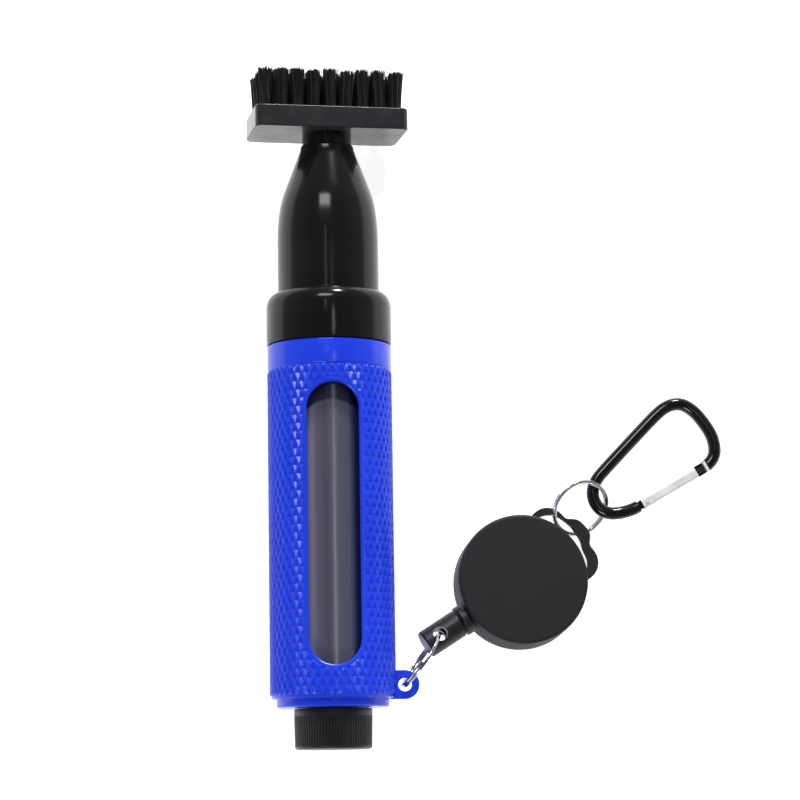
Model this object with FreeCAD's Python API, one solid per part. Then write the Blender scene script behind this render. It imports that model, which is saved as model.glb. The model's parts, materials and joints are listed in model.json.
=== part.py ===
import FreeCAD, Part
import math
import os

# Club groove brush with a water tank in the grip, a spring-loaded nozzle and a
# retracting cord reel with a split ring and carabiner.
# Frame, mm: origin at the middle of the fill cap's end face, +Y along the grip
# towards the bristles, +Z up out of the floor the brush lies on.
# Bare lengths on the grip axis are distances from the cap's end face.

V = FreeCAD.Vector
X, Y, Z = V(1, 0, 0), V(0, 1, 0), V(0, 0, 1)

# ---- driving dimensions -------------------------------------------------
floor_z = -18.2            # the collar's radius: the floor touches it
running_gap = 0.05         # radial clearance of a shaft in its bore

cap_radius = 11.2
cap_length = 11.5
cap_wall_end = 1.8
thread_radius = 9.9        # filler neck outside
thread_gap = 0.2
neck_bore = 8.2

sleeve_bottom = 11.8
rim_top = 14.3
sleeve_top = 116.2
rim_radius = 16.15
sleeve_radius = 17.9
band_radius = 18.0
band_bottom = 108.8
sleeve_bore = 15.5
seat_bore = 14.3
window_low, window_high = 23.4, 103.65
window_width = 14.8
window_turn = 4.4          # degrees about the grip axis

tank_radius = 14.25
tank_bore = 12.9
tank_head_radius = 16.3

collar_radius = 18.2
collar_bottom, collar_top = 116.4, 131.8
gasket_low, gasket_high = 120.8, 121.6
flange_top = 123.9

nozzle_radius = 14.75
shoulder_y, shoulder_end = 150.0, 160.0
neck_radius_low = 13.45
cone_end, nozzle_end = 174.2, 175.6
cone_end_radius = 7.95
boss_radius = 7.2

block_low, block_high = 179.0, 185.4
block_width, block_depth = 45.0, 23.0
head_turn = 11.0           # degrees about the grip axis
tuft_columns, tuft_rows = 9, 4
tuft_pitch = 4.82
row_pitch = 4.9
tuft_radius = 1.55
tuft_tip = 197.5
water_hole = 1.4

tab_hole = V(20.6, 18.1, 0)
tab_hole_radius = 1.95
tab_end_radius = 4.15
tab_half = 1.5

reel_centre = V(54.6, 47.55, -8.95)
hook_point = V(30.6, 32.0, -4.0)       # middle of the cord fitting's cross hole
reel_radius = 19.0
reel_half = 6.0
shell_wall = 1.6

ring_big_centre = V(72.64, 69.20, -11.51)
ring_big_radius = 8.35
ring_slope_x, ring_slope_y = -0.476, 0.658
rod_radius = 1.85
carabiner_tilt = 5.8       # degrees: the hooked end lies on the ring


def tube(axis_y0, axis_y1, outer, inner):
    body = Part.makeCylinder(outer, axis_y1 - axis_y0, V(0, axis_y0, 0), Y)
    return body.cut(Part.makeCylinder(inner, axis_y1 - axis_y0 + 2, V(0, axis_y0 - 1, 0), Y))


def turned(points, axis=Y, origin=V(0, 0, 0)):
    # Solid of revolution about the grip axis from (radius, along) points.
    wire = Part.makePolygon([V(r, y, 0) for r, y in points] + [V(points[0][0], points[0][1], 0)])
    return Part.Face(wire).revolve(origin, axis, 360)


def rod(start, end, radius):
    direction = end - start
    return Part.makeCylinder(radius, direction.Length, start, direction)


def stadium(width, low, high, depth):
    r = width / 2
    a, b = V(-r, low + r, 0), V(-r, high - r, 0)
    c, d = V(r, high - r, 0), V(r, low + r, 0)
    edges = [Part.makeLine(a, b), Part.Arc(b, V(0, high, 0), c).toShape(),
             Part.makeLine(c, d), Part.Arc(d, V(0, low, 0), a).toShape()]
    return Part.Face(Part.Wire(edges)).extrude(V(0, 0, depth))


def coil(radius, wire, length, turns, centre, axis=Z):
    # Helical spring: a round wire swept along a helix.
    path = Part.makeHelix(length / turns, length, radius)
    profile = Part.Wire(Part.makeCircle(wire / 2, V(radius, 0, 0), Y))
    spring = Part.Wire(path).makePipeShell([profile], True, True)
    turn = FreeCAD.Rotation(Z, axis)
    spring.Placement = FreeCAD.Placement(centre, turn)
    return spring


def plain_ring(centre, normal, mean_radius, wide, thick):
    flat = Part.makeCylinder(mean_radius + wide / 2, thick, V(0, 0, -thick / 2))
    flat = flat.cut(Part.makeCylinder(mean_radius - wide / 2, thick + 2, V(0, 0, -thick / 2 - 1)))
    flat = flat.makeFillet(0.25, [e for e in flat.Edges if e.Curve.TypeId == "Part::GeomCircle"])
    flat.Placement = FreeCAD.Placement(centre, FreeCAD.Rotation(Z, normal))
    return flat


def save(name, *solids):
    shape = solids[0] if len(solids) == 1 else Part.makeCompound(list(solids))
    for solid in shape.Solids:
        if not solid.isValid():
            raise RuntimeError(name + " is not a valid solid")
    os.makedirs("parts", exist_ok=True)
    shape.exportStep("parts/" + name + ".step")


# ---- fill cap ------------------------------------------------------------
cap = turned([(0, 0), (10.4, 0), (11.0, 0.6), (cap_radius, 9.8), (cap_radius, cap_length),
              (thread_radius + thread_gap, cap_length), (thread_radius + thread_gap, cap_wall_end),
              (0, cap_wall_end)])
rib_count = 80
ribs = Part.makeCompound([
    Part.makeCylinder(0.16, 8.6, V(cap_radius * math.cos(a), 0.9, cap_radius * math.sin(a)), Y)
    for a in [2 * math.pi * i / rib_count for i in range(rib_count)]])
save("fill_cap", cap.cut(ribs))
save("cap_gasket", tube(cap_wall_end + 0.05, cap_wall_end + 0.85, 9.7, 6.6))

# ---- tank ----------------------------------------------------------------
neck_end = cap_wall_end + 1.2
tank = turned([(neck_bore, neck_end), (thread_radius, neck_end), (thread_radius, rim_top + 0.05),
               (tank_radius, rim_top + 0.05), (tank_radius, sleeve_top + 0.05),
               (tank_head_radius, sleeve_top + 0.05), (tank_head_radius, gasket_low),
               (tank_bore, gasket_low), (tank_bore, 18.6), (11.0, 16.7), (neck_bore, 16.5)])
save("water_tank", tank)
save("tank_gasket", tube(gasket_low, gasket_high, 16.2, 12.9))

# ---- grip sleeve with lanyard tab -----------------------------------------
sleeve = turned([(10.3, sleeve_bottom), (rim_radius - 0.5, sleeve_bottom), (rim_radius, sleeve_bottom + 0.5),
                 (rim_radius, rim_top), (sleeve_radius - 0.4, rim_top), (sleeve_radius, rim_top + 0.5),
                 (sleeve_radius, band_bottom), (band_radius, band_bottom + 0.1), (band_radius, sleeve_top),
                 (seat_bore, sleeve_top), (seat_bore, 107.0), (sleeve_bore, 105.6), (sleeve_bore, 21.4),
                 (seat_bore, 20.0), (seat_bore, rim_top), (10.3, rim_top)])
window = stadium(window_width, window_low, window_high, 30)
window.rotate(V(0, 0, 0), Y, window_turn)
sleeve = sleeve.cut(window)
tab = Part.makeCylinder(tab_end_radius, 2 * tab_half, tab_hole - Z * tab_half)
tab = tab.fuse(Part.makeBox(4.4, 2 * tab_end_radius, 2 * tab_half,
                            V(16.2, tab_hole.y - tab_end_radius, -tab_half)))
tab = tab.cut(Part.makeCylinder(tab_hole_radius, 10, tab_hole - Z * 5))
sleeve = sleeve.fuse(tab).removeSplitter()
hole_rims = [e for e in sleeve.Edges if e.Curve.TypeId == "Part::GeomCircle"
             and abs(e.Curve.Radius - tab_hole_radius) < 1e-6 and abs(e.Curve.Center.x - tab_hole.x) < 0.01]
sleeve = sleeve.makeChamfer(0.35, hole_rims)
save("grip_sleeve", sleeve)

# ---- collar ----------------------------------------------------------------
collar = turned([(16.5, collar_bottom), (17.8, collar_bottom), (collar_radius, collar_bottom + 0.4),
                 (collar_radius, 127.9), (17.9, 129.4), (17.1, 130.7), (15.9, 131.5), (14.9, collar_top),
                 (14.9, flange_top + 0.05), (16.5, flange_top + 0.05)])
save("collar", collar)

# ---- nozzle ----------------------------------------------------------------
nozzle_out = [(nozzle_radius, flange_top), (nozzle_radius, shoulder_y - 2), (14.7, 151.0), (14.45, 154.0),
              (14.05, 157.2), (neck_radius_low, shoulder_end), (cone_end_radius, cone_end), (7.85, 175.0),
              (7.6, nozzle_end)]
boss_bore = boss_radius + running_gap
nozzle = turned([(12.6, gasket_high), (16.3, gasket_high), (16.3, flange_top)] + nozzle_out +
                [(boss_bore, nozzle_end), (boss_bore, 166.0), (11.4, 157.5), (11.4, 140.05), (12.6, 140.05)])
save("nozzle_housing", nozzle)

# valve body: a cup with water ports and a seat for the washer under its floor
valve = turned([(3.1, 134.0), (6.6, 134.0), (6.6, 135.0), (12.5, 135.0), (12.5, 140.0), (11.2, 140.0),
                (11.2, 137.0), (4.6, 137.0), (4.6, 139.4), (3.1, 139.4)])
port = Part.makeCylinder(1.3, 10, V(0, 130, 0), Y)
for i in range(6):
    hole = port.copy()
    hole.translate(V(8.4 * math.cos(i * math.pi / 3), 0, 8.4 * math.sin(i * math.pi / 3)))
    valve = valve.cut(hole)
save("valve_body", valve)

# ---- plunger, in the head body ----------------------------------------------
stem_low = 129.0
stem = turned([(0, stem_low), (3.0, stem_low), (3.0, 166.4), (5.6, 167.6), (boss_radius, 168.0),
               (boss_radius, 170.2), (5.9, 170.2), (5.9, 171.8), (boss_radius, 171.8),
               (boss_radius, block_low), (0, block_low)])
stem = stem.cut(Part.makeCylinder(water_hole, 40, V(0, 142, 0), Y))
stem = stem.cut(rod(V(-5, 144, 0), V(5, 144, 0), 1.0)).cut(rod(V(0, 144, -5), V(0, 144, 5), 1.0))
stem = stem.cut(tube(130.4, 131.1, 4.0, 2.3))
save("plunger_stem", stem)
o_ring = Part.makeTorus(6.56, 0.66, V(0, 171.0, 0), Y)
save("stem_o_ring", o_ring)
save("valve_washer", tube(131.15, 133.6, 6.0, 3.02))
clip = tube(130.45, 131.05, 5.4, 2.4)
clip = clip.cut(Part.makeBox(3.6, 2, 6, V(-1.8, 130, 0)))
save("retaining_clip", clip)
spring = coil(5.4, 0.9, 26.4, 7, V(0, 0, 0))
spring.rotate(V(0, 0, 0), X, -90)
spring.translate(V(0, 137.9, 0))
save("return_spring", spring)

# ---- brush head, turned about the grip axis ----------------------------------
def head_turned(shape):
    shape.rotate(V(0, 0, 0), Y, head_turn)
    return shape


block = Part.makeBox(block_width, block_high - block_low, block_depth,
                     V(-block_width / 2, block_low, -block_depth / 2))
upright = [e for e in block.Edges if abs(e.tangentAt(e.FirstParameter).y) > 0.99]
block = block.makeFillet(2.6, upright)
flat_rims = [e for e in block.Edges if abs(e.BoundBox.YMax - e.BoundBox.YMin) < 1e-6]
block = block.makeFillet(0.5, flat_rims)
holes, tufts, staples = [], [], []
for i in range(tuft_columns):
    for j in range(tuft_rows):
        px = (i - (tuft_columns - 1) / 2) * tuft_pitch
        pz = (j - (tuft_rows - 1) / 2) * row_pitch
        holes.append(Part.makeCylinder(tuft_radius + 0.02, 5, V(px, block_high - 3.6, pz), Y))
        tufts.append(Part.makeCone(tuft_radius, 1.95, tuft_tip - block_high + 2.6, V(px, block_high - 2.6, pz), Y))
        tufts[-1] = tufts[-1].common(Part.makeCylinder(tuft_radius, 2.6, V(px, block_high - 2.6, pz), Y).fuse(
            Part.makeCylinder(3, 20, V(px, block_high, pz), Y)))
        staples.append(Part.makeBox(2.4, 0.9, 0.5, V(px - 1.2, block_high - 3.55, pz - 0.25)))
block = block.cut(Part.makeCompound(holes)).cut(Part.makeCylinder(water_hole, 10, V(0, 177, 0), Y))
save("brush_block", head_turned(block))
save("bristle_tufts", *[head_turned(t) for t in tufts])
save("tuft_staples", *[head_turned(s) for s in staples])

# ---- small split ring through the tab -----------------------------------------
reach = hook_point - tab_hole
along = V(reach).normalize()
upward = (Z - along * Z.dot(along)).normalize()
small_radius = 8.95
small_normal = along.cross(upward)
small_centre = tab_hole + along * small_radius
save("small_split_ring", plain_ring(small_centre, small_normal, small_radius, 1.3, 1.6))

# ---- reel frame: local x from nose to bail, local z out of the flat face --------
to_nose = (hook_point - reel_centre)
hook_distance = to_nose.Length
reel_x = V(to_nose).normalize() * -1
reel_z = V(0.1325, 0.1076, 0.985)
reel_z = (reel_z - reel_x * reel_z.dot(reel_x)).normalize()
reel_y = reel_z.cross(reel_x)
reel_matrix = FreeCAD.Matrix(reel_x.x, reel_y.x, reel_z.x, reel_centre.x,
                             reel_x.y, reel_y.y, reel_z.y, reel_centre.y,
                             reel_x.z, reel_y.z, reel_z.z, reel_centre.z,
                             0, 0, 0, 1)
reel_place = FreeCAD.Placement(reel_matrix)


def on_reel(shape):
    shape.Placement = reel_place.multiply(shape.Placement)
    return shape


def disc(z0, z1, outer, inner=0.0):
    body = Part.makeCylinder(outer, z1 - z0, V(0, 0, z0))
    if inner > 0:
        body = body.cut(Part.makeCylinder(inner, z1 - z0 + 2, V(0, 0, z0 - 1)))
    return body


def spun(points):
    wire = Part.makePolygon([V(r, 0, z) for r, z in points] + [V(points[0][0], 0, points[0][1])])
    return Part.Face(wire).revolve(V(0, 0, 0), Z, 360)


seam = 2.3
inner_wall = reel_radius - shell_wall
bush_hole = rod(V(-22, 0, 0), V(-14, 0, 0), 3.25)

# front shell: flat face, rounded edge, a lip that slips inside the back shell
front = spun([(0, 4.6), (0, reel_half), (18.2, reel_half), (18.7, 5.8), (18.95, 5.3), (reel_radius, 4.8),
              (reel_radius, seam + 0.05), (17.3, seam + 0.05), (17.3, 0.6), (16.6, 0.6), (16.6, 4.6)])
front = front.cut(disc(4.0, 5.1, 2.03)).cut(bush_hole)
save("reel_front_shell", on_reel(front))

# back shell with the three-lobed bail
back = spun([(0, -reel_half), (0, -4.6), (inner_wall, -4.6), (inner_wall, seam), (reel_radius, seam),
             (reel_radius, -4.8), (18.95, -5.3), (18.7, -5.8), (18.2, -reel_half)])
back = back.cut(disc(-5.1, -4.0, 2.0)).cut(bush_hole)
bail_middle = 7.5
bail_low, bail_high = 0.0, 1.8
bail_outer = [(-40, 18.2), (-36.5, 21.0), (-31, 22.9), (-25.5, 23.7), (-20, 23.8), (-15.8, 23.4), (-12.8, 23.3),
              (-9.5, 24.2), (-5.5, 25.2), (0, 25.4), (5.5, 25.2), (9.5, 24.2), (12.8, 23.3), (15.8, 23.4),
              (20, 23.8), (25.5, 23.7), (31, 22.9), (36.5, 21.0), (40, 18.2)]
outer_points = [V(r * math.cos(math.radians(a + bail_middle)), r * math.sin(math.radians(a + bail_middle)), bail_low)
                for a, r in bail_outer]


def sector(points, height):
    # Face between a smooth curve through the points and the reel's axis.
    curve = Part.BSplineCurve()
    curve.interpolate(points)
    middle = V(0, 0, height)
    arcs = [a.toShape() for a in curve.toBiArcs(0.02)]
    edges = arcs + [Part.makeLine(points[-1], middle), Part.makeLine(middle, points[0])]
    return Part.Face(Part.Wire(Part.__sortEdges__(edges)))


bail_face = sector(outer_points, bail_low)
bail = bail_face.extrude(V(0, 0, bail_high - bail_low))
eye_outer = [(-32, 19.4), (-26, 20.5), (-20, 20.9), (-13.5, 20.9), (-7, 21.6), (0, 22.0),
             (7, 22.4), (13.5, 22.4), (20, 22.4), (26, 21.6), (32, 20.0)]
eye_points = [V(r * math.cos(math.radians(a + bail_middle)), r * math.sin(math.radians(a + bail_middle)), -4)
              for a, r in eye_outer]
eye = sector(eye_points, -4).extrude(V(0, 0, 8))
bail = bail.cut(disc(-3, 3, 18.2)).cut(eye)
back = back.fuse(bail).removeSplitter()
save("reel_back_shell", on_reel(back))

# axle, drum, coiled spring strip, wound cord
save("reel_axle", on_reel(disc(-5.1, 5.05, 2.0)))
drum = spun([(2.06, -3.9), (15.8, -3.9), (15.8, -2.9), (10.4, -2.9), (10.4, 1.9), (15.8, 1.9), (15.8, 2.8),
             (9.3, 2.8), (9.3, -2.9), (3.0, -2.9), (3.0, -1.9), (2.06, -1.9)])
save("cord_drum", on_reel(drum))
strip = 0.3
turns_count = 6
steps = 26 * turns_count
inner_side, outer_side = [], []
for k in range(steps + 1):
    angle = 2 * math.pi * turns_count * k / steps
    r = 3.4 + (8.9 - 3.4) * k / steps
    inner_side.append(V((r - strip / 2) * math.cos(angle), (r - strip / 2) * math.sin(angle), -2.6))
    outer_side.append(V((r + strip / 2) * math.cos(angle), (r + strip / 2) * math.sin(angle), -2.6))
inner_curve, outer_curve = Part.BSplineCurve(), Part.BSplineCurve()
inner_curve.interpolate(inner_side)
outer_curve.interpolate(outer_side)
spiral = Part.Face(Part.Wire([inner_curve.toShape(), Part.makeLine(inner_side[-1], outer_side[-1]),
                              outer_curve.toShape(), Part.makeLine(outer_side[0], inner_side[0])]))
save("power_spring", on_reel(spiral.extrude(V(0, 0, 4.6))))
save("wound_cord", on_reel(disc(-2.85, 1.85, 13.6, 10.45)))

# nose bush: flange outside the shell, bore for the cord
bush = rod(V(-19.75, 0, 0), V(-21.55, 0, 0), 4.5).fuse(rod(V(-20, 0, 0), V(-16.3, 0, 0), 3.2))
bush = bush.makeFillet(0.5, [e for e in bush.Edges if e.Curve.TypeId == "Part::GeomCircle"
                             and abs(e.Curve.Radius - 4.5) < 1e-6 and e.CenterOfMass.x < -21])
bush = bush.cut(rod(V(-30, 0, 0), V(-10, 0, 0), 0.9))
save("nose_bush", on_reel(bush))

# cord fitting: a short barrel, cross hole for the split ring, well for the knot
fit_near, fit_far = -21.95, -(hook_distance + 4.8)
fitting = rod(V(fit_near, 0, 0), V(fit_far, 0, 0), 4.1)
fitting = fitting.makeFillet(0.6, [e for e in fitting.Edges if e.Curve.TypeId == "Part::GeomCircle"])
hole_axis = reel_place.inverse().Rotation.multVec(upward)
hole_axis = V(0, hole_axis.y, hole_axis.z).normalize()
hook_local = V(-hook_distance, 0, 0)
cross = rod(hook_local - hole_axis * 8, hook_local + hole_axis * 8, 2.1)
fitting = fitting.cut(cross).cut(rod(V(-20, 0, 0), V(-25, 0, 0), 0.8)).cut(rod(V(-24.6, 0, 0), V(-28, 0, 0), 1.8))
save("cord_end_fitting", on_reel(fitting))
knot = Part.makeSphere(1.3, V(-26.0, 0, 0)).fuse(rod(V(-16.0, 0, 0), V(-26.0, 0, 0), 0.5)).removeSplitter()
save("cord_lead_and_knot", on_reel(knot))

# ---- big split ring through the bail --------------------------------------------
big_normal = V(-ring_slope_x, -ring_slope_y, 1).normalize()
save("big_split_ring", plain_ring(ring_big_centre, big_normal, ring_big_radius, 1.1, 1.3))

# ---- carabiner: a bent rod in one plane, then tilted about its far end ------------
path = [(89.6, 69.6), (88.1, 68.8), (85.2, 67.9), (82.26, 67.5), (79.6, 68.05), (77.64, 69.5), (76.5, 71.7),
        (76.3, 74.3), (77.2, 76.9), (79.88, 80.3), (84.05, 84.7), (88.35, 89.2), (93.37, 94.4), (96.0, 97.0),
        (97.6, 98.35), (99.56, 99.5), (101.88, 100.1), (104.18, 99.75), (106.2, 98.6), (107.92, 97.05),
        (109.4, 95.2), (111.1, 92.8), (112.3, 90.2), (112.9, 87.6), (112.9, 85.6), (112.2, 83.6),
        (111.0, 82.2), (109.4, 81.0), (107.1, 79.69)]
far_point = V(112.9, 88.0, floor_z + rod_radius + 0.02)
length_way = V(0.874, 0.486, 0)
tilt_axis = Z.cross(length_way)


def on_carabiner(shape):
    shape.rotate(far_point, tilt_axis, carabiner_tilt)
    return shape


plane_z = far_point.z
centreline = Part.BSplineCurve()
centreline.interpolate([V(x, y, plane_z) for x, y in path])
arcs = Part.Wire(Part.__sortEdges__([a.toShape() for a in centreline.toBiArcs(0.02)]))
start_way = centreline.tangent(0)[0]
profile = Part.Wire(Part.makeCircle(rod_radius, V(path[0][0], path[0][1], plane_z), start_way))
frame = arcs.makePipeShell([profile], True, True)

rivet_at = V(92.3, 71.05, plane_z)
gate_way = V(108.3 - 92.3, 80.2 - 71.05, 0).normalize()
gate_side = Z.cross(gate_way)


def gate_box(a0, a1, s0, s1, z0, z1):
    # Box from a0 to a1 along the gate, s0 to s1 across it, z0 to z1 in height.
    corner = [rivet_at + gate_way * a + gate_side * s for a, s in ((a0, s0), (a1, s0), (a1, s1), (a0, s1))]
    base = Part.Face(Part.makePolygon([c + Z * z0 for c in corner] + [corner[0] + Z * z0]))
    return base.extrude(Z * (z1 - z0))


# pivot tongue on the frame, slot and groove in the frame's nose
tongue = gate_box(-3.4, 0, -1.25, 1.25, -0.6, 0.6).fuse(
    Part.makeCylinder(1.25, 1.2, rivet_at - Z * 0.6))
frame = frame.cut(gate_box(-2.2, 6, -3, 3, -3, 3))
frame = frame.fuse(tongue).removeSplitter()
frame = frame.cut(Part.makeCylinder(0.62, 8, rivet_at - Z * 4))
gate_length = 17.0
frame = frame.cut(gate_box(10, gate_length + 0.35, -4, 4, -3, 3))
frame = frame.cut(gate_box(gate_length, 21.1, -2.2, 4, -0.85, 0.85))
frame = frame.cut(gate_box(19.7, 21.1, -2.2, 4, -0.85, 3))
frame_solid = max(frame.Solids, key=lambda s: s.Volume)
save("carabiner_frame", on_carabiner(frame_solid))

# gate: flattened bar with a forked pivot end and a cross-headed tongue
gate = gate_box(-1.75, gate_length, -1.6, 1.6, -1.6, 1.6)
edges_along = [e for e in gate.Edges if abs(e.tangentAt(e.FirstParameter).dot(gate_way)) > 0.99]
gate = gate.makeFillet(0.75, edges_along)
gate = gate.fuse(gate_box(gate_length - 1, 20.3, -0.9, 0.9, -0.5, 0.5))
gate = gate.fuse(gate_box(20.05, 20.75, -1.6, 1.6, -0.5, 1.6)).removeSplitter()
gate = gate.cut(gate_box(-4, 2.2, -3, 3, -0.9, 0.9))
gate = gate.cut(Part.makeCylinder(0.67, 8, rivet_at - Z * 4))
gate = gate.cut(rod(rivet_at + gate_way * 1, rivet_at + gate_way * 8, 0.85))
save("carabiner_gate", on_carabiner(gate))
rivet = Part.makeCylinder(0.62, 3.9, rivet_at - Z * 1.95)
save("gate_rivet", on_carabiner(rivet))
spring = coil(0.55, 0.22, 4.4, 8, V(0, 0, 0), gate_way)
spring.translate(rivet_at + gate_way * 3.45)
save("gate_spring", on_carabiner(spring))
follower = rod(rivet_at + gate_way * 1.75, rivet_at + gate_way * 3.2, 0.78)
save("gate_spring_follower", on_carabiner(follower))
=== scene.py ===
import json
import math
import random

import bmesh
import bpy
from mathutils import Matrix, Vector


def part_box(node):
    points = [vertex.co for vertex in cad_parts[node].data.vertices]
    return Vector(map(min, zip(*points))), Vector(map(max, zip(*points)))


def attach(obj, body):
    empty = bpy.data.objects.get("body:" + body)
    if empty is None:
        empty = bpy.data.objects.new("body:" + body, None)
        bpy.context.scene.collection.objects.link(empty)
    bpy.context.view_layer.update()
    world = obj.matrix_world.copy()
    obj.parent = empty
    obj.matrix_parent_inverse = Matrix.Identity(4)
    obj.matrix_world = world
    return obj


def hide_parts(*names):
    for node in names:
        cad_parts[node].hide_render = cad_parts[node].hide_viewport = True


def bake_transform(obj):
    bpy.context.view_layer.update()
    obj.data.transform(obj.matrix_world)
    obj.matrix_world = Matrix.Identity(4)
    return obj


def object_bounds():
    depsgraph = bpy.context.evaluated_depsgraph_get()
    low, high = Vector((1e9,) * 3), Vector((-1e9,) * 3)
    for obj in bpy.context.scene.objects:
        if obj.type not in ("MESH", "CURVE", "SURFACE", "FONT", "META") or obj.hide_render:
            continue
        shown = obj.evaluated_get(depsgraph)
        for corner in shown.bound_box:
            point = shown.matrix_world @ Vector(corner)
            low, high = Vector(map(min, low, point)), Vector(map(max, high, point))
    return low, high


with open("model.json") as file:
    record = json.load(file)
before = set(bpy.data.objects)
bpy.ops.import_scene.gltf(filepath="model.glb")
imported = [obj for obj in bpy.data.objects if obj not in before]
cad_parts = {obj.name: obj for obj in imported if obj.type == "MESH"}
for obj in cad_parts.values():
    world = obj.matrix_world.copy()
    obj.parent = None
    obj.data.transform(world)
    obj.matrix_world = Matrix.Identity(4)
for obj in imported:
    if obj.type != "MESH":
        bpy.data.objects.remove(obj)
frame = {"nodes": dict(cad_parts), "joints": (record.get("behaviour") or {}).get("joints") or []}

CAD_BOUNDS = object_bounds()
MM = 0.001
random.seed(41)

scene = bpy.context.scene
scene.view_settings.view_transform = "Standard"
scene.view_settings.look = "None"

nodes = frame["nodes"]
joints = {joint["name"]: joint for joint in frame["joints"]}

# ------------------------------------------------------------------ camera
SENSOR_MM, LENS_MM = 36.0, 129.6
CAMERA_PLACE = (0.01864, -0.01591, 0.82707)
CAMERA_PITCH, CAMERA_ROLL = 8.0, -0.86      # degrees, from a view straight down

camera_data = bpy.data.cameras.new("camera")
camera_data.sensor_width = SENSOR_MM
camera_data.lens = LENS_MM
camera = bpy.data.objects.new("camera", camera_data)
scene.collection.objects.link(camera)
camera.location = CAMERA_PLACE
camera.rotation_euler = (math.radians(CAMERA_PITCH), 0.0, math.radians(CAMERA_ROLL))
scene.camera = camera


# --------------------------------------------------------------- materials
def colour_ramp(tree, factor, stops):
    ramp = tree.nodes.new("ShaderNodeValToRGB")
    tree.links.new(factor, ramp.inputs["Fac"])
    elements = ramp.color_ramp.elements
    while len(elements) < len(stops):
        elements.new(0.5)
    for element, (place, colour) in zip(elements, stops):
        element.position = place
        element.color = (*colour, 1.0)
    return ramp.outputs["Color"]


def noise(tree, vector, scale, detail=4.0, rough=0.55, stretch=None):
    if stretch:
        mapping = tree.nodes.new("ShaderNodeMapping")
        mapping.inputs["Scale"].default_value = stretch
        tree.links.new(vector, mapping.inputs["Vector"])
        vector = mapping.outputs["Vector"]
    tex = tree.nodes.new("ShaderNodeTexNoise")
    tex.inputs["Scale"].default_value = scale
    tex.inputs["Detail"].default_value = detail
    tex.inputs["Roughness"].default_value = rough
    tree.links.new(vector, tex.inputs["Vector"])
    return tex.outputs["Fac"]


def to_range(tree, value, low, high, a=0.3, b=0.7):
    ranged = tree.nodes.new("ShaderNodeMapRange")
    ranged.inputs["From Min"].default_value = a
    ranged.inputs["From Max"].default_value = b
    ranged.inputs["To Min"].default_value = low
    ranged.inputs["To Max"].default_value = high
    tree.links.new(value, ranged.inputs["Value"])
    return ranged.outputs["Result"]


def math_node(tree, operation, first, second):
    node = tree.nodes.new("ShaderNodeMath")
    node.operation = operation
    for value, socket in ((first, node.inputs[0]), (second, node.inputs[1])):
        if isinstance(value, float):
            socket.default_value = value
        else:
            tree.links.new(value, socket)
    return node.outputs[0]


def multiply(tree, first, second):
    node = tree.nodes.new("ShaderNodeMix")
    node.data_type = "RGBA"
    node.blend_type = "MULTIPLY"
    node.inputs[0].default_value = 1.0
    tree.links.new(first, node.inputs[6])
    tree.links.new(second, node.inputs[7])
    return node.outputs[2]


def object_coords(mat):
    return [n for n in mat.node_tree.nodes if n.type == "TEX_COORD"][0].outputs["Object"]


def bump(tree, height, distance, strength, normal=None):
    node = tree.nodes.new("ShaderNodeBump")
    node.inputs["Distance"].default_value = distance
    node.inputs["Strength"].default_value = strength
    tree.links.new(height, node.inputs["Height"])
    if normal is not None:
        tree.links.new(normal, node.inputs["Normal"])
    return node.outputs["Normal"]


def material(name, dark, light, rough, grain=900.0, grain_depth=0.02, stretch=None, metallic=0.0,
             gleam=0.5, patches=60.0, scratches=0.0, bump_strength=0.35):
    # Patchy colour and roughness, fine grain bump and optional scratches. Depths are in
    # mm, and patches and grain are noise scales.
    mat = bpy.data.materials.new(name)
    mat.use_nodes = True
    tree = mat.node_tree
    shader = tree.nodes["Principled BSDF"]
    coords = tree.nodes.new("ShaderNodeTexCoord").outputs["Object"]
    broad = noise(tree, coords, patches, 5.0, 0.6, stretch)
    fine = noise(tree, coords, grain, 3.0, 0.6, stretch)
    tree.links.new(colour_ramp(tree, broad, [(0.25, dark), (0.75, light)]), shader.inputs["Base Color"])
    tree.links.new(to_range(tree, broad, rough[0], rough[1]), shader.inputs["Roughness"])
    normal = bump(tree, fine, grain_depth * MM, bump_strength)
    if scratches:
        lines = noise(tree, coords, 140.0, 2.0, 0.5, (1.0, 14.0, 1.0))
        normal = bump(tree, lines, scratches * MM, 0.25, normal)
    tree.links.new(normal, shader.inputs["Normal"])
    shader.inputs["Metallic"].default_value = metallic
    shader.inputs["Specular IOR Level"].default_value = gleam
    return mat


BLUE = material("blue_plastic", (0.011, 0.044, 0.66), (0.014, 0.054, 0.76), (0.17, 0.23), grain=2600.0,
                grain_depth=0.008, patches=35.0, gleam=0.30)
BLACK_GLOSS = material("black_gloss_plastic", (0.0052, 0.0050, 0.0062), (0.0072, 0.0070, 0.0085),
                       (0.12, 0.18), grain=1400.0, grain_depth=0.004, patches=45.0, scratches=0.003,
                       gleam=0.22)
BLACK_BLOCK = material("black_block_plastic", (0.020, 0.0198, 0.0225), (0.026, 0.0257, 0.029), (0.14, 0.30),
                       grain=1300.0, grain_depth=0.006, patches=110.0, scratches=0.02, gleam=0.2)
BLACK_CAP = material("black_cap_plastic", (0.010, 0.010, 0.0115), (0.014, 0.014, 0.0155), (0.34, 0.46),
                     grain=2200.0, grain_depth=0.02, patches=70.0, gleam=0.35)
BLACK_MATTE = material("black_matte_plastic", (0.0060, 0.0059, 0.0078), (0.0085, 0.0083, 0.0108),
                       (0.52, 0.66), grain=2400.0, grain_depth=0.035, patches=90.0, bump_strength=0.6,
                       gleam=0.3)
BLACK_METAL = material("black_anodised", (0.004, 0.004, 0.005), (0.006, 0.006, 0.007), (0.08, 0.14),
                       grain=1500.0, grain_depth=0.006, patches=80.0, scratches=0.003, gleam=0.35)
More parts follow.
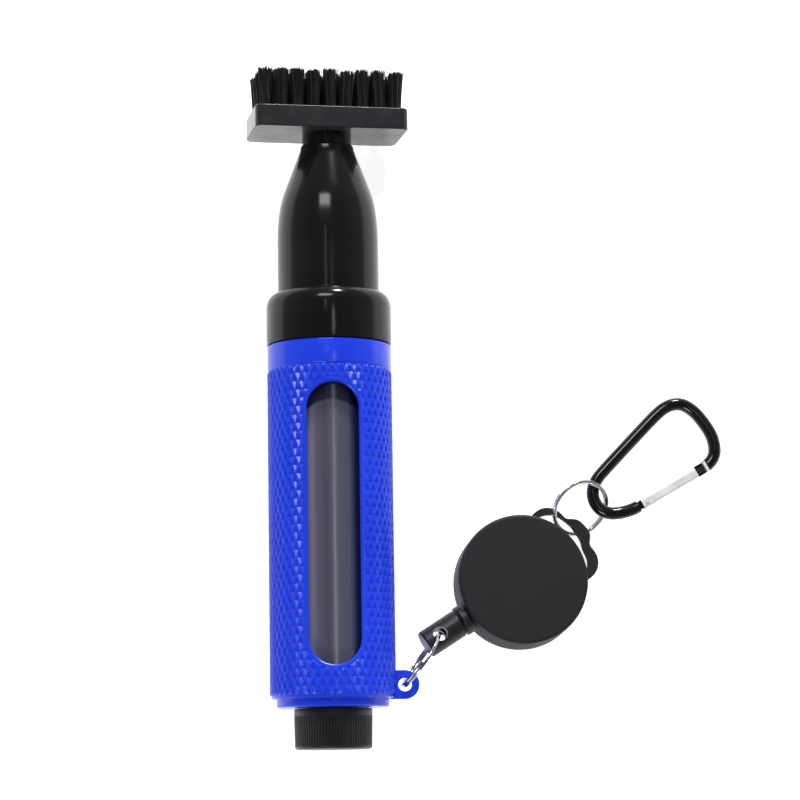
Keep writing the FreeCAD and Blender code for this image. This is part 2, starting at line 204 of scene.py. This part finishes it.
STEEL = material("plated_steel", (0.42, 0.42, 0.43), (0.58, 0.58, 0.59), (0.12, 0.24), grain=1500.0,
                 grain_depth=0.006, patches=240.0, metallic=1.0, scratches=0.002)
ALUMINIUM = material("polished_aluminium", (0.78, 0.78, 0.79), (0.93, 0.93, 0.93), (0.24, 0.36), grain=1400.0,
                     grain_depth=0.006, patches=160.0, metallic=0.3, scratches=0.006)
SPRING = material("spring_wire", (0.36, 0.36, 0.37), (0.52, 0.52, 0.53), (0.20, 0.34), grain=1500.0,
                  grain_depth=0.008, patches=300.0, metallic=1.0)
BRASS = material("brass_wire", (0.62, 0.42, 0.14), (0.78, 0.56, 0.24), (0.22, 0.34), grain=1500.0,
                 grain_depth=0.006, patches=300.0, metallic=1.0)
RUBBER = material("seal_rubber", (0.014, 0.014, 0.014), (0.022, 0.022, 0.022), (0.55, 0.7), grain=2200.0,
                  grain_depth=0.03, patches=160.0)
WHITE = material("white_inner_plastic", (0.70, 0.70, 0.68), (0.78, 0.78, 0.76), (0.38, 0.5), grain=1500.0,
                 grain_depth=0.012, patches=90.0)
NYLON = material("black_nylon", (0.0035, 0.0035, 0.004), (0.009, 0.009, 0.010), (0.30, 0.5), grain=900.0,
                 grain_depth=0.01, patches=900.0, gleam=0.35)


# Painted highlight and painted shade across the tank: a pale band near the left, darker towards the right.
TANK_LIGHT_SHADE_BANDS = [(0.0, (0.12, 0.12, 0.17)), (0.12, (0.33, 0.33, 0.40)), (0.26, (0.135, 0.125, 0.175)),
              (0.42, (0.085, 0.078, 0.115)), (0.56, (0.115, 0.115, 0.155)), (0.80, (0.095, 0.10, 0.155)),
              (0.92, (0.02, 0.022, 0.075)), (1.0, (0.015, 0.016, 0.06))]
BAND_LEFT, BAND_RIGHT = -0.0075, 0.0095      # the painted highlight and shade bands' span across the tank
WOBBLE = 0.0012                              # how far the bands' edges wander
ARCH_LOW, ARCH_HIGH = 0.0986, 0.0994         # the painted shadow's soft edge at the middle
ARCH_CENTRE, ARCH_CURVE = 0.0008, 55.0
# Colour of the painted shadow cast by the window's rim.
ARCH_SHADOW_COLOUR = (0.13, 0.13, 0.30)


def tank_material():
    # See-through smoky plastic, with painted highlight and painted shade bands along it and a painted shadow
    # at the nozzle end.
    mat = material("smoky_tank_painted_light", (0.115, 0.112, 0.155), (0.140, 0.137, 0.185), (0.14, 0.22),
                   grain=700.0, grain_depth=0.008, patches=30.0, stretch=(1.0, 0.25, 1.0))
    tree = mat.node_tree
    shader = tree.nodes["Principled BSDF"]
    coords = object_coords(mat)
    wobble = noise(tree, coords, 55.0, 3.0, 0.5, (1.0, 0.12, 1.0))
    split = tree.nodes.new("ShaderNodeSeparateXYZ")
    tree.links.new(coords, split.inputs[0])
    shifted = math_node(tree, "ADD", math_node(tree, "MULTIPLY", wobble, WOBBLE), split.outputs["X"])
    bands = colour_ramp(tree, to_range(tree, shifted, 0.0, 1.0, BAND_LEFT, BAND_RIGHT), TANK_LIGHT_SHADE_BANDS)
    # Painted shadow of the window's rim at the nozzle end, following the window's arch.
    centred = math_node(tree, "SUBTRACT", split.outputs["X"], ARCH_CENTRE)
    arch = math_node(tree, "MULTIPLY", math_node(tree, "MULTIPLY", centred, centred), ARCH_CURVE)
    depth = to_range(tree, math_node(tree, "ADD", split.outputs["Y"], arch), 0.0, 1.0, ARCH_LOW, ARCH_HIGH)
    shade = colour_ramp(tree, depth, [(0.0, (1, 1, 1)), (1.0, ARCH_SHADOW_COLOUR)])
    tree.links.new(multiply(tree, bands, shade), shader.inputs["Base Color"])
    shader.inputs["Transmission Weight"].default_value = 0.25
    shader.inputs["IOR"].default_value = 1.49
    return mat


def cord_material():
    # Braided cord: diagonal strands raised by a wave pattern.
    mat = material("braided_cord", (0.008, 0.008, 0.009), (0.02, 0.02, 0.022), (0.6, 0.8), grain=3000.0,
                   grain_depth=0.03, patches=600.0)
    tree = mat.node_tree
    shader = tree.nodes["Principled BSDF"]
    coords = object_coords(mat)
    wave = tree.nodes.new("ShaderNodeTexWave")
    wave.wave_type = "BANDS"
    wave.bands_direction = "DIAGONAL"
    wave.inputs["Scale"].default_value = 700.0
    wave.inputs["Distortion"].default_value = 1.5
    tree.links.new(coords, wave.inputs["Vector"])
    old = shader.inputs["Normal"].links[0].from_socket
    tree.links.new(bump(tree, wave.outputs["Fac"], 0.12 * MM, 0.8, old), shader.inputs["Normal"])
    return mat


GATE_WAY = (0.864, 0.494, -0.0995)
GATE_END, TONGUE_LENGTH = 0.1333, 0.005      # metres along the gate's own direction
TONGUE_DARK = (0.02, 0.02, 0.02)


def gate_material():
    # Bare metal bar whose locking tongue is blackened up to its bright cross head.
    mat = ALUMINIUM.copy()
    mat.name = "gate_metal"
    tree = mat.node_tree
    shader = tree.nodes["Principled BSDF"]
    coords = object_coords(mat)
    along = tree.nodes.new("ShaderNodeVectorMath")
    along.operation = "DOT_PRODUCT"
    along.inputs[1].default_value = GATE_WAY
    tree.links.new(coords, along.inputs[0])
    reach = to_range(tree, along.outputs["Value"], 0.0, 1.0, GATE_END, GATE_END + TONGUE_LENGTH)
    tongue = colour_ramp(tree, reach, [(0.0, (1, 1, 1)), (0.03, TONGUE_DARK), (0.60, TONGUE_DARK),
                                       (0.62, (1, 1, 1))])
    old = shader.inputs["Base Color"].links[0].from_socket
    tree.links.new(multiply(tree, old, tongue), shader.inputs["Base Color"])
    return mat


TANK = tank_material()
GATE = gate_material()
CORD = cord_material()


# -------------------------------------------------------------- mesh helpers
def add_object(name, verts, faces, mat, body, replaced=(), sharp=32.0):
    mesh = bpy.data.meshes.new(name)
    mesh.from_pydata([tuple(v) for v in verts], [], faces)
    mesh.validate()
    obj = bpy.data.objects.new(name, mesh)
    scene.collection.objects.link(obj)
    finish_piece(obj, mat, body, replaced, sharp)
    return obj


def finish_piece(obj, mat, body, replaced=(), sharp=32.0):
    mesh = obj.data
    fix = bmesh.new()
    fix.from_mesh(mesh)
    bmesh.ops.recalc_face_normals(fix, faces=fix.faces)
    fix.to_mesh(mesh)
    fix.free()
    mesh.materials.clear()
    mesh.materials.append(mat)
    mesh.polygons.foreach_set("use_smooth", [True] * len(mesh.polygons))
    mesh.set_sharp_from_angle(angle=math.radians(sharp))
    if body:
        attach(obj, body)
    if replaced:
        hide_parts(*replaced)


def ring_faces(rings, count, closed=True):
    # Quads that join each ring of vertices to the next and, if closed, the last to the first.
    faces = []
    for k in range(rings if closed else rings - 1):
        a, b = k * count, ((k + 1) % rings) * count
        for i in range(count):
            j = (i + 1) % count
            faces.append((a + i, a + j, b + j, b + i))
    return faces


def lathe(profile, count, radius_at=None):
    # Rings of vertices about the grip axis, from (radius, along) in mm.
    verts = []
    for r, y in profile:
        for i in range(count):
            turn = 2 * math.pi * i / count
            radius = radius_at(r, y, turn) if radius_at else r
            verts.append((radius * math.sin(turn) * MM, y * MM, radius * math.cos(turn) * MM))
    return verts


def revolved(name, outline, mat, body, node, count, radius_at=None):
    verts = lathe(outline, count, radius_at)
    add_object(name, verts, ring_faces(len(outline), count), mat, body, (node,), 40.0)


def round_section(radius, sides):
    # A circle of (side, up) offsets, from a radius in mm.
    turns = [2 * math.pi * s / sides for s in range(sides)]
    return [(radius * MM * math.cos(a), radius * MM * math.sin(a)) for a in turns]


def tube_along(points, section, closed=False):
    # Sweeps a section, a list of (side, up) offsets in metres, along a list of
    # (place, side vector, up vector).
    verts = [place + side * s + up * u for place, side, up in points for s, u in section]
    rings, n = len(points), len(section)
    faces = ring_faces(rings, n, closed)
    if not closed:
        faces.append(tuple(range(n))[::-1])
        faces.append(tuple((rings - 1) * n + i for i in range(n)))
    return verts, faces


def boolean(obj, other, operation):
    modifier = obj.modifiers.new("cut", "BOOLEAN")
    modifier.operation = operation
    modifier.solver = "MANIFOLD"
    modifier.object = other
    depsgraph = bpy.context.evaluated_depsgraph_get()
    result = bpy.data.meshes.new_from_object(obj.evaluated_get(depsgraph))
    obj.modifiers.clear()
    obj.data = result
    bpy.data.objects.remove(other)


# ------------------------------------------------------------- knurled sleeve
GRIP_LOW, GRIP_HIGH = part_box("grip_sleeve")
SLEEVE_LOW, SLEEVE_TOP = GRIP_LOW[1] / MM, GRIP_HIGH[1] / MM
KNURL_ROUND, KNURL_LONG = 45, 4.8      # diamonds round the grip, and their length
KNURL_FROM, KNURL_TO = 15.2, 108.8
KNURL_BASE, KNURL_PEAK, PLAIN = 17.42, 18.06, 17.72
WINDOW_LOW, WINDOW_HIGH, WINDOW_HALF = 23.4, 103.65, 7.4
WINDOW_TURN = math.radians(4.4)
RIM_WIDE = 1.25


def window_distance(x, y):
    # Distance outside the window's edge, for x across it and y along the grip.
    low, high = WINDOW_LOW + WINDOW_HALF, WINDOW_HIGH - WINDOW_HALF
    nearest = min(max(y, low), high)
    return math.hypot(x, y - nearest) - WINDOW_HALF


def smooth_step(value, low, high):
    t = min(max((value - low) / (high - low), 0.0), 1.0)
    return t * t * (3 - 2 * t)


def knurl_radius(r, y, turn):
    if r != KNURL_BASE:
        return r
    along = (y - KNURL_FROM) / KNURL_LONG
    around = turn / (2 * math.pi) * KNURL_ROUND
    u, v = (around + along) % 1.0, (around - along) % 1.0
    inside = 1 - 2 * max(abs(u - 0.5), abs(v - 0.5))
    height = 1.0 - max(0.0, inside - 0.05) / 0.95
    half_turn = (turn - WINDOW_TURN + math.pi) % (2 * math.pi) - math.pi
    mask = min(smooth_step(y, KNURL_FROM, KNURL_FROM + 0.6), smooth_step(KNURL_TO - y, 0.0, 0.6))
    if abs(half_turn) < math.pi / 2:
        gap = window_distance(PLAIN * math.sin(half_turn), y)
        mask = min(mask, smooth_step(gap, RIM_WIDE - 0.25, RIM_WIDE + 0.5))
    return PLAIN + (KNURL_BASE + (KNURL_PEAK - KNURL_BASE) * height - PLAIN) * mask


def sleeve_piece():
    rows = int(round((KNURL_TO - KNURL_FROM) / (KNURL_LONG / 8)))
    profile = [(10.3, SLEEVE_LOW), (15.5, SLEEVE_LOW), (15.85, SLEEVE_LOW + 0.1), (16.08, SLEEVE_LOW + 0.35),
               (16.15, SLEEVE_LOW + 0.7), (16.15, 14.1), (16.25, 14.25), (16.5, 14.3), (17.2, 14.3),
               (17.5, 14.38), (17.66, 14.6), (PLAIN, 14.9)]
    profile += [(KNURL_BASE, KNURL_FROM + k * (KNURL_TO - KNURL_FROM) / rows) for k in range(rows + 1)]
    profile += [(PLAIN + 0.02, 108.95), (17.86, 109.1), (17.95, 109.3), (17.98, 109.6), (17.98, 115.7),
                (17.92, 116.0), (17.7, SLEEVE_TOP), (14.3, SLEEVE_TOP), (14.3, 107.0), (15.5, 105.6),
                (15.5, 21.4), (14.3, 20.0), (14.3, 14.3), (10.3, 14.3)]
    count = KNURL_ROUND * 8
    verts = lathe(profile, count, knurl_radius)
    sleeve = add_object("knurled_grip", verts, ring_faces(len(profile), count), BLUE, None)

    turn = Matrix.Rotation(WINDOW_TURN, 3, "Y")
    outline = window_outline()
    cut = 0.8      # how far the hole reaches in under the rim, in mm
    verts = [turn @ Vector(((x + nx * cut) * MM, (y + ny * cut) * MM, z * MM))
             for z in (2.0, 30.0) for x, y, nx, ny in outline]
    n = len(outline)
    faces = [tuple(range(n)), tuple(range(2 * n - 1, n - 1, -1))]
    faces += [(i, (i + 1) % n, n + (i + 1) % n, n + i) for i in range(n)]
    cutter = add_object("cutter", verts, faces, BLUE, None)
    boolean(sleeve, cutter, "DIFFERENCE")

    section = [(0.0, 15.6), (0.0, 17.1), (0.05, 17.36), (0.17, 17.57), (0.36, 17.71), (0.62, 17.78),
               (RIM_WIDE - 0.2, 17.80), (RIM_WIDE - 0.02, 17.74), (RIM_WIDE, 17.6), (RIM_WIDE, 15.6)]
    verts = []
    for x, y, nx, ny in outline:
        for d, r in section:
            across = x + nx * d
            height = math.sqrt(r * r - across * across)
            verts.append(turn @ Vector((across * MM, (y + ny * d) * MM, height * MM)))
    rim = add_object("rim", verts, ring_faces(n, len(section)), BLUE, None)
    boolean(sleeve, rim, "UNION")
    boolean(sleeve, tab_mesh(), "UNION")
    finish_piece(sleeve, BLUE, "handle", ("grip_sleeve",), 14.0)


def window_outline():
    # (x, y, outward x, outward y) points round the window, in its own frame.
    points = []
    low, high = WINDOW_LOW + WINDOW_HALF, WINDOW_HIGH - WINDOW_HALF
    straight_steps, arc_steps = 40, 48
    for side, start, end in ((1.0, low, high), (-1.0, high, low)):
        for k in range(straight_steps):
            points.append((side * WINDOW_HALF, start + (end - start) * k / straight_steps, side, 0.0))
        for k in range(arc_steps):
            a = (0.0 if side > 0 else math.pi) + math.pi * k / arc_steps
            c, s = math.cos(a), math.sin(a)
            points.append((WINDOW_HALF * c, end + WINDOW_HALF * s, c, s))
    return points


def tab_mesh():
    # Rounded lug with a chamfered hole, built as a ring about the hole.
    hole = Vector(joints["link_ring_swing"]["pos_m"])
    inner, outer, back, half = 1.95, 4.15, 4.4, 1.5
    section = [(inner, 0, -1.15), (inner, 1, -1.42), (inner, 1.6, -half), (outer, -1.3, -half),
               (outer, -0.5, -1.4), (outer, 0, -1.0), (outer, 0, 1.0), (outer, -0.5, 1.4),
               (outer, -1.3, half), (inner, 1.6, half), (inner, 1, 1.42), (inner, 0, 1.15)]
    count = 96
    verts = []
    for base, step, z in section:
        for i in range(count):
            a = 2 * math.pi * i / count
            c, s = math.cos(a), math.sin(a)
            reach = base
            if base == outer and c < 0:
                reach = min(outer / max(abs(s), 1e-6), back / max(abs(c), 1e-6))
            reach += step * 0.25
            verts.append(hole + Vector((reach * c, reach * s, z)) * MM)
    return add_object("tab", verts, ring_faces(len(section), count), BLUE, None)


sleeve_piece()

# ---------------------------------------------------------------- fill cap
CAP_RIBS, RIB_DEPTH = 80, 0.22
CAP_WALL, CAP_LIP = 10.9, 9.7      # where the ribs begin outwards, and end along the cap


def cap_radius(r, y, turn):
    # Cuts the ribs' grooves into the cap's side wall, below its plain lip.
    if r < CAP_WALL or y > CAP_LIP:
        return r
    ribbed = smooth_step(y, 0.5, 1.2) * smooth_step(CAP_LIP - y, 0.0, 0.5)
    wave = abs(math.sin(turn * CAP_RIBS / 2))
    return r - RIB_DEPTH * ribbed * (1 - wave ** 0.8)


cap_outline = [(0.001, 0.0), (10.0, 0.0), (10.45, 0.07), (10.8, 0.25), (10.98, 0.5), (11.03, 0.9)]
cap_outline += [(11.03 + 0.17 * k / 10, 1.2 + 8.0 * k / 10) for k in range(11)]
cap_outline += [(11.2, 9.45), (11.2, 9.7), (11.2, 11.2), (11.1, 11.45), (10.95, 11.5), (10.15, 11.5),
                (10.1, 11.4), (10.1, 1.8), (0.001, 1.8)]
revolved("ribbed_fill_cap", cap_outline, BLACK_CAP, "cap", "fill_cap", CAP_RIBS * 8, cap_radius)

# ------------------------------------------------------------ collar, nozzle
collar_outline = [(16.5, 116.4), (17.9, 116.4), (18.12, 116.5), (18.2, 116.8), (18.2, 127.2), (18.15, 128.0),
                  (18.0, 128.8), (17.72, 129.6), (17.3, 130.35), (16.75, 130.95), (16.1, 131.4),
                  (15.5, 131.68), (15.05, 131.78), (14.9, 131.7), (14.9, 124.0), (16.5, 124.0)]
revolved("collar_ring", collar_outline, BLACK_GLOSS, "handle", "collar", 192)

nozzle_outer = [(16.3, 121.65), (16.3, 123.9), (14.75, 123.9), (14.75, 131.0), (14.75, 140.0), (14.75, 147.0)]
shoulder = [(14.72, 149.0), (14.66, 150.6), (14.55, 152.2), (14.40, 153.8), (14.20, 155.4), (13.95, 157.0),
            (13.62, 158.6), (13.25, 160.0), (12.70, 161.7)]
cone = [(12.70 + (7.95 - 12.70) * k / 6, 161.7 + (174.2 - 161.7) * k / 6) for k in range(1, 7)]
nozzle_inner = [(7.9, 174.75), (7.78, 175.2), (7.6, 175.5), (7.4, 175.6), (7.26, 175.5), (7.25, 175.3),
                (7.25, 166.0), (11.4, 157.5), (11.4, 140.05), (12.6, 140.05), (12.6, 121.65)]
revolved("nozzle_shell", nozzle_outer + shoulder + cone + nozzle_inner, BLACK_GLOSS, "handle",
         "nozzle_housing", 192)


# ---------------------------------------------------------------- bristles
HEAD_TURN = Matrix.Rotation(math.radians(11.0), 3, "Y")
BLOCK_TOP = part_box("brush_block")[1][1] / MM
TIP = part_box("bristle_tufts")[1][1] / MM
COLUMNS, ROWS, COLUMN_PITCH, ROW_PITCH = 9, 4, 4.82, 4.9
PER_TUFT, TUFT_RADIUS, FLARE = 84, 1.5, 1.36
FILAMENT_SIDES, FILAMENT_STEPS = 5, 4
GOLDEN_ANGLE = 2.39996      # radians between one filament of a tuft and the next


def filament(base, tip, bow, inward, radius, first_turn):
    # Rings of a thin tapered rod from base to tip that bows on its way.
    verts = []
    for step in range(FILAMENT_STEPS + 1):
        t = step / FILAMENT_STEPS
        bulge = math.sin(math.pi * t)
        place = base.lerp(tip, t) + bow * bulge - inward * 0.10 * bulge
        r = radius * (1 - 0.22 * t)
        for s in range(FILAMENT_SIDES):
            a = 2 * math.pi * s / FILAMENT_SIDES + first_turn
            p = place + Vector((r * math.cos(a), 0, r * math.sin(a)))
            verts.append(HEAD_TURN @ (p * MM))
    return verts


def bristle_piece():
    verts, faces = [], []
    rod = ring_faces(FILAMENT_STEPS + 1, FILAMENT_SIDES, False)
    rod.append(tuple(FILAMENT_STEPS * FILAMENT_SIDES + s for s in range(FILAMENT_SIDES)))
    rod.append(tuple(FILAMENT_SIDES - 1 - s for s in range(FILAMENT_SIDES)))
    for i in range(COLUMNS):
        for j in range(ROWS):
            px, pz = (i - (COLUMNS - 1) / 2) * COLUMN_PITCH, (j - (ROWS - 1) / 2) * ROW_PITCH
            lean_x, lean_z = random.gauss(0, 0.22), random.gauss(0, 0.22)
            tuft_height = TIP - random.uniform(0.15, 0.9)
            for k in range(PER_TUFT):
                spread = TUFT_RADIUS * math.sqrt((k + 0.5) / PER_TUFT)
                angle = k * GOLDEN_ANGLE + i + j
                ox, oz = spread * math.cos(angle), spread * math.sin(angle)
                flare = FLARE + random.uniform(-0.12, 0.25)
                tip = Vector((px + ox * flare + lean_x + random.gauss(0, 0.12),
                              min(tuft_height + random.uniform(-0.45, 0.25), TIP - 0.05),
                              pz + oz * flare + lean_z + random.gauss(0, 0.12)))
                base = Vector((px + ox, BLOCK_TOP - 1.2, pz + oz))
                bow = Vector((random.gauss(0, 0.10), 0, random.gauss(0, 0.10)))
                radius = random.uniform(0.125, 0.15)
                faces += [tuple(len(verts) + v for v in face) for face in rod]
                verts += filament(base, tip, bow, Vector((ox, 0, oz)), radius, angle)
    add_object("bristle_filaments", verts, faces, NYLON, "head", ("bristle_tufts",), 60.0)


bristle_piece()


# -------------------------------------------------------------- split rings
RING_STEPS = 300
SMALL_RING_RADIUS, SMALL_RING_LEAN = 8.95 * MM, 6.0      # mean radius; degrees
BIG_RING_RADIUS = 8.35 * MM
BIG_RING_CENTRE = Vector((72.64, 69.20, -11.51)) * MM
BIG_RING_NORMAL = Vector((0.476, -0.658, 1.0))


def split_ring(name, centre, normal, start_way, mean, wide, thick, body, node):
    # One flat wire, wound nearly twice, with a ramp where it changes coil.
    normal = normal.normalized()
    first = (start_way - normal * start_way.dot(normal)).normalized()
    second = normal.cross(first)
    ramp = math.radians(34)
    low, high = ramp * 1.08, 4 * math.pi - ramp * 1.08
    points = []
    for k in range(RING_STEPS + 1):
        angle = low + (high - low) * k / RING_STEPS
        outward = first * math.cos(angle) + second * math.sin(angle)
        rise = smooth_step(angle, 2 * math.pi - ramp, 2 * math.pi + ramp) * 2 - 1
        points.append((centre + outward * mean + normal * rise * thick * 0.25, outward, normal))
    w, t, c = wide / 2, thick * 0.245, thick * 0.07
    section = [(-w, -t + c), (-w + c, -t), (w - c, -t), (w, -t + c),
               (w, t - c), (w - c, t), (-w + c, t), (-w, t - c)]
    verts, faces = tube_along(points, section)
    add_object(name, verts, faces, STEEL, body, (node,), 50.0)


tab_hole = Vector(joints["link_ring_swing"]["pos_m"])
hook = Vector(joints["cord_end_swing"]["pos_m"])
along = (hook - tab_hole).normalized()
up = (Vector((0, 0, 1)) - along * along.z).normalized()
small_normal = Matrix.Rotation(math.radians(SMALL_RING_LEAN), 3, along) @ along.cross(up)
split_ring("small_double_ring", tab_hole + along * SMALL_RING_RADIUS, small_normal, up * 0.6 + along * 0.2,
           SMALL_RING_RADIUS, 1.3 * MM, 1.6 * MM, "link_ring", "small_split_ring")
split_ring("big_double_ring", BIG_RING_CENTRE, BIG_RING_NORMAL, Vector((-0.4, 1, 0)),
           BIG_RING_RADIUS, 1.1 * MM, 1.3 * MM, "clip_ring", "big_split_ring")

# ------------------------------------------------------------- cord and knot
# Places along the cord, in mm from the reel's middle, with the fitting at the negative end.
KNOT_AT, CORD_FROM, CORD_TO = -26.0, -26.2, -16.0
KNOT_STRAND, KNOT_SIZE, CORD_RADIUS = 0.38, 0.27, 0.5
reel_out = Vector(joints["reel_pull"]["axis"]).normalized()
reel_up = Vector(joints["drum_spin"]["axis"]).normalized()
reel_side = reel_up.cross(reel_out)
reel_mid = Vector(joints["drum_spin"]["pos_m"])


def on_reel(x, y, z):
    # A point given in mm in the reel's own directions.
    return reel_mid + (reel_out * x + reel_side * y + reel_up * z) * MM


def knot_piece():
    # A trefoil knot in the cord's end.
    points = []
    steps = 90
    centre = on_reel(KNOT_AT, 0, 0)
    places = []
    for k in range(steps):
        t = 2 * math.pi * k / steps
        x = math.sin(t) + 2 * math.sin(2 * t)
        y = math.cos(t) - 2 * math.cos(2 * t)
        z = -math.sin(3 * t)
        places.append(centre + (reel_side * x + reel_up * y + reel_out * z * 0.9) * KNOT_SIZE * MM)
    for k in range(steps):
        way = (places[(k + 1) % steps] - places[k - 1]).normalized()
        side = way.cross(reel_out).normalized()
        points.append((places[k], side, way.cross(side)))
    verts, faces = tube_along(points, round_section(KNOT_STRAND, 10), True)
    add_object("cord_knot", verts, faces, CORD, "cord_end", ("cord_lead_and_knot",), 60.0)


def cord_piece():
    # The short cord from the fitting into the reel.
    steps = 60
    places = [on_reel(CORD_FROM + (CORD_TO - CORD_FROM) * k / steps, 0, 0) for k in range(steps + 1)]
    points = [(place, reel_side, reel_up) for place in places]
    verts, faces = tube_along(points, round_section(CORD_RADIUS, 12))
    cord = add_object("pull_cord", verts, faces, CORD, None, (), 60.0)
    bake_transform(cord)


knot_piece()
cord_piece()

# ------------------------------------------------------------ return spring
SPRING_LOW, SPRING_HIGH, SPRING_RADIUS, SPRING_WIRE, SPRING_TURNS = 138.35, 163.85, 5.4, 0.45, 8
TURN_STEPS = 40
END_RISE = 0.035      # how much of its height each closing turn still climbs


def spring_piece():
    # Round wire with a flat closing turn at each end.
    points = []
    for k in range(SPRING_TURNS * TURN_STEPS + 1):
        turn = k / TURN_STEPS
        rise = min(max((turn - 1.0) / (SPRING_TURNS - 2), 0.0), 1.0)
        rise += END_RISE * min(turn, 1.0) - END_RISE * min(SPRING_TURNS - turn, 1.0)
        y = SPRING_LOW + (SPRING_HIGH - SPRING_LOW) * (rise + END_RISE) / (1 + 2 * END_RISE)
        a = 2 * math.pi * turn
        out = Vector((math.cos(a), 0, math.sin(a)))
        points.append(((out * SPRING_RADIUS + Vector((0, y, 0))) * MM, out, Vector((0, 1, 0))))
    verts, faces = tube_along(points, round_section(SPRING_WIRE, 12))
    spring = add_object("plunger_spring", verts, faces, SPRING, None, (), 60.0)
    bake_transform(spring)
    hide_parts("return_spring")


spring_piece()

# ------------------------------------------------- materials of the CAD nodes
finishes = {
    "water_tank": TANK, "tank_gasket": RUBBER, "valve_body": WHITE, "plunger_stem": BLACK_GLOSS,
    "stem_o_ring": RUBBER, "valve_washer": RUBBER, "retaining_clip": SPRING,
    "brush_block": BLACK_BLOCK, "tuft_staples": BRASS, "cap_gasket": RUBBER, "cord_end_fitting": BLACK_CAP,
    "reel_front_shell": BLACK_MATTE, "reel_back_shell": BLACK_MATTE, "reel_axle": STEEL,
    "nose_bush": BLACK_CAP, "cord_drum": WHITE, "power_spring": SPRING, "wound_cord": CORD,
    "carabiner_frame": BLACK_METAL,
    "gate_rivet": ALUMINIUM, "carabiner_gate": GATE, "gate_spring": SPRING, "gate_spring_follower": STEEL}
for name, mat in finishes.items():
    mesh = nodes[name].data
    if not mesh.materials:
        mesh.materials.append(mat)
    for k in range(len(mesh.materials)):
        nodes[name].material_slots[k].material = mat

# -------------------------------------------------------------- floor, light
FLOOR_HALF, FLOOR_GLOW = 3, 0.80
floor_z = CAD_BOUNDS[0][2] - 0.00002      # just clear of the lowest piece
floor_mesh = bpy.data.meshes.new("floor")
corners = [(x * FLOOR_HALF, y * FLOOR_HALF, floor_z) for x, y in ((-1, -1), (1, -1), (1, 1), (-1, 1))]
floor_mesh.from_pydata(corners, [], [(0, 1, 2, 3)])
floor = bpy.data.objects.new("floor", floor_mesh)
scene.collection.objects.link(floor)
FLOOR = material("pale_floor", (0.86, 0.86, 0.86), (0.88, 0.88, 0.88), (0.85, 0.9), grain=300.0,
                 grain_depth=0.01, patches=4.0)
floor_shader = FLOOR.node_tree.nodes["Principled BSDF"]
floor_shader.inputs["Emission Color"].default_value = (1.0, 1.0, 1.0, 1.0)
floor_shader.inputs["Emission Strength"].default_value = FLOOR_GLOW
floor_mesh.materials.append(FLOOR)

# The studio's light by height: pale at the horizon, dark overhead.
SKY = [(0.0, (0.55, 0.55, 0.55)), (0.3, (0.42, 0.42, 0.43)), (0.65, (0.24, 0.24, 0.25)),
       (1.0, (0.08, 0.08, 0.085))]
world = bpy.data.worlds.new("studio")
scene.world = world
world.use_nodes = True
tree = world.node_tree
back = tree.nodes["Background"]
sky = tree.nodes.new("ShaderNodeTexCoord").outputs["Generated"]
split = tree.nodes.new("ShaderNodeSeparateXYZ")
tree.links.new(sky, split.inputs[0])
sky_colour = colour_ramp(tree, split.outputs["Z"], SKY)
tree.links.new(sky_colour, back.inputs["Color"])
back.inputs["Strength"].default_value = 1.0


def area_light(name, place, target, size_x, size_y, power):
    # Points a rectangle at the target, with its second side as near +Y as it can be.
    data = bpy.data.lights.new(name, "AREA")
    data.shape = "RECTANGLE"
    data.size, data.size_y = size_x, size_y
    data.energy = power
    obj = bpy.data.objects.new(name, data)
    scene.collection.objects.link(obj)
    obj.location = place
    back_way = (Vector(place) - Vector(target)).normalized()
    side_way = Vector((0, 1, 0)).cross(back_way).normalized()
    obj.rotation_euler = Matrix((side_way, back_way.cross(side_way), back_way)).transposed().to_euler()


area_light("key", (0.28, 1.32, 0.50), (0.02, 0.09, 0.0), 0.20, 0.20, 16.0)
area_light("fill_near", (-0.35, -0.95, 0.95), (0.02, 0.08, 0.0), 0.5, 0.4, 6.0)
area_light("knurl_light", (-0.10, 0.86, 1.06), (0.0, 0.07, 0.0), 0.50, 0.26, 6.0)
area_light("slim_strip", (0.20, 0.17, 1.15), (0.005, 0.08, 0.0), 0.06, 0.30, 0.4)
area_light("nozzle_strip", (-0.08, 0.37, 1.15), (0.0, 0.15, 0.0), 0.04, 0.10, 0.08)
